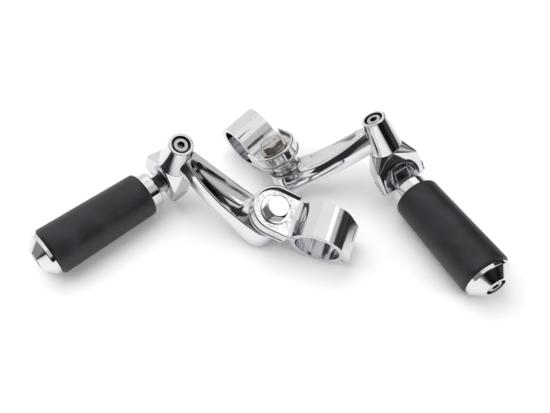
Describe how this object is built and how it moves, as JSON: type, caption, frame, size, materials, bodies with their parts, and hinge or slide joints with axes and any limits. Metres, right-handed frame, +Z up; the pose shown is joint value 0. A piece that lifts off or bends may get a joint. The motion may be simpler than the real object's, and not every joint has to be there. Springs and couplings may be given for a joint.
{
  "type": "pair of folding highway pegs",
  "caption": "Left and right folding foot pegs with rubber sleeves on offset chrome arms, each with a split clamp for a round engine guard tube.",
  "frame": {"origin": "centre of the pair's bounding box at the table's height", "axes": "+X along the pair's width, from the left peg to the right one; +Y away from the viewer; +Z up off the table"},
  "size_m": [0.322, 0.1734, 0.0737],
  "materials": {
    "chrome": "bright chrome plate on cast metal, lightly scuffed",
    "fastener_steel": "plated fastener steel",
    "tarnished_steel": "plated steel with brown tarnish round the edges",
    "rubber": "matt moulded rubber"
  },
  "bodies": {
    "brackets": {"left_arm": "chrome", "left_swivel_screw": "fastener_steel", "right_arm": "chrome", "right_swivel_screw": "fastener_steel"},
    "left_clamp": {"left_clamp_lower": "chrome", "left_clamp_upper": "chrome", "left_clamp_bolt": "tarnished_steel", "left_clamp_washer": "tarnished_steel"},
    "right_clamp": {"right_clamp_lower": "chrome", "right_clamp_upper": "chrome", "right_clamp_bolt": "tarnished_steel", "right_clamp_washer": "tarnished_steel"},
    "left_clevis": {"left_clevis": "chrome", "left_pivot_pin": "fastener_steel", "left_pin_clip": "fastener_steel", "left_spring_washer": "fastener_steel"},
    "right_clevis": {"right_clevis": "chrome", "right_pivot_pin": "fastener_steel", "right_pin_clip": "fastener_steel", "right_spring_washer": "fastener_steel"},
    "left_peg": {"left_peg_core": "chrome", "left_rubber_sleeve": "rubber", "left_end_cap": "chrome", "left_end_cap_screw": "fastener_steel"},
    "right_peg": {"right_peg_core": "chrome", "right_rubber_sleeve": "rubber", "right_end_cap": "chrome", "right_end_cap_screw": "fastener_steel"}
  },
  "joints": [
    {"name": "left_clamp_turn", "type": "hinge", "parent": "brackets", "child": "left_clamp", "pos_m": [0.00792, -0.02895, 0.03622], "axis": [0.317, -0.3298, 0.8892], "range_deg": [-120, 40]},
    {"name": "left_peg_swivel", "type": "hinge", "parent": "brackets", "child": "left_clevis", "pos_m": [-0.06289, 0.01123, 0.04617], "axis": [0.317, -0.3298, 0.8892], "range_deg": [-90, 80]},
    {"name": "left_peg_fold", "type": "hinge", "parent": "left_clevis", "child": "left_peg", "pos_m": [-0.07474, 0.01778, 0.02117], "axis": [0.6039, -0.6528, -0.4574], "range_deg": [-0.4, 84.6]},
    {"name": "right_clamp_turn", "type": "hinge", "parent": "brackets", "child": "right_clamp", "pos_m": [0.00915, 0.03155, 0.03558], "axis": [-0.4292, 0.1297, 0.8938], "range_deg": [-90, 60]},
    {"name": "right_peg_swivel", "type": "hinge", "parent": "brackets", "child": "right_clevis", "pos_m": [0.08997, 0.02191, 0.04575], "axis": [-0.4292, 0.1297, 0.8938], "range_deg": [-40, 90]},
    {"name": "right_peg_fold", "type": "hinge", "parent": "right_clevis", "child": "right_peg", "pos_m": [0.10326, 0.01461, 0.0217], "axis": [0.8506, 0.3907, 0.3518], "range_deg": [-17, 68]}
  ]
}
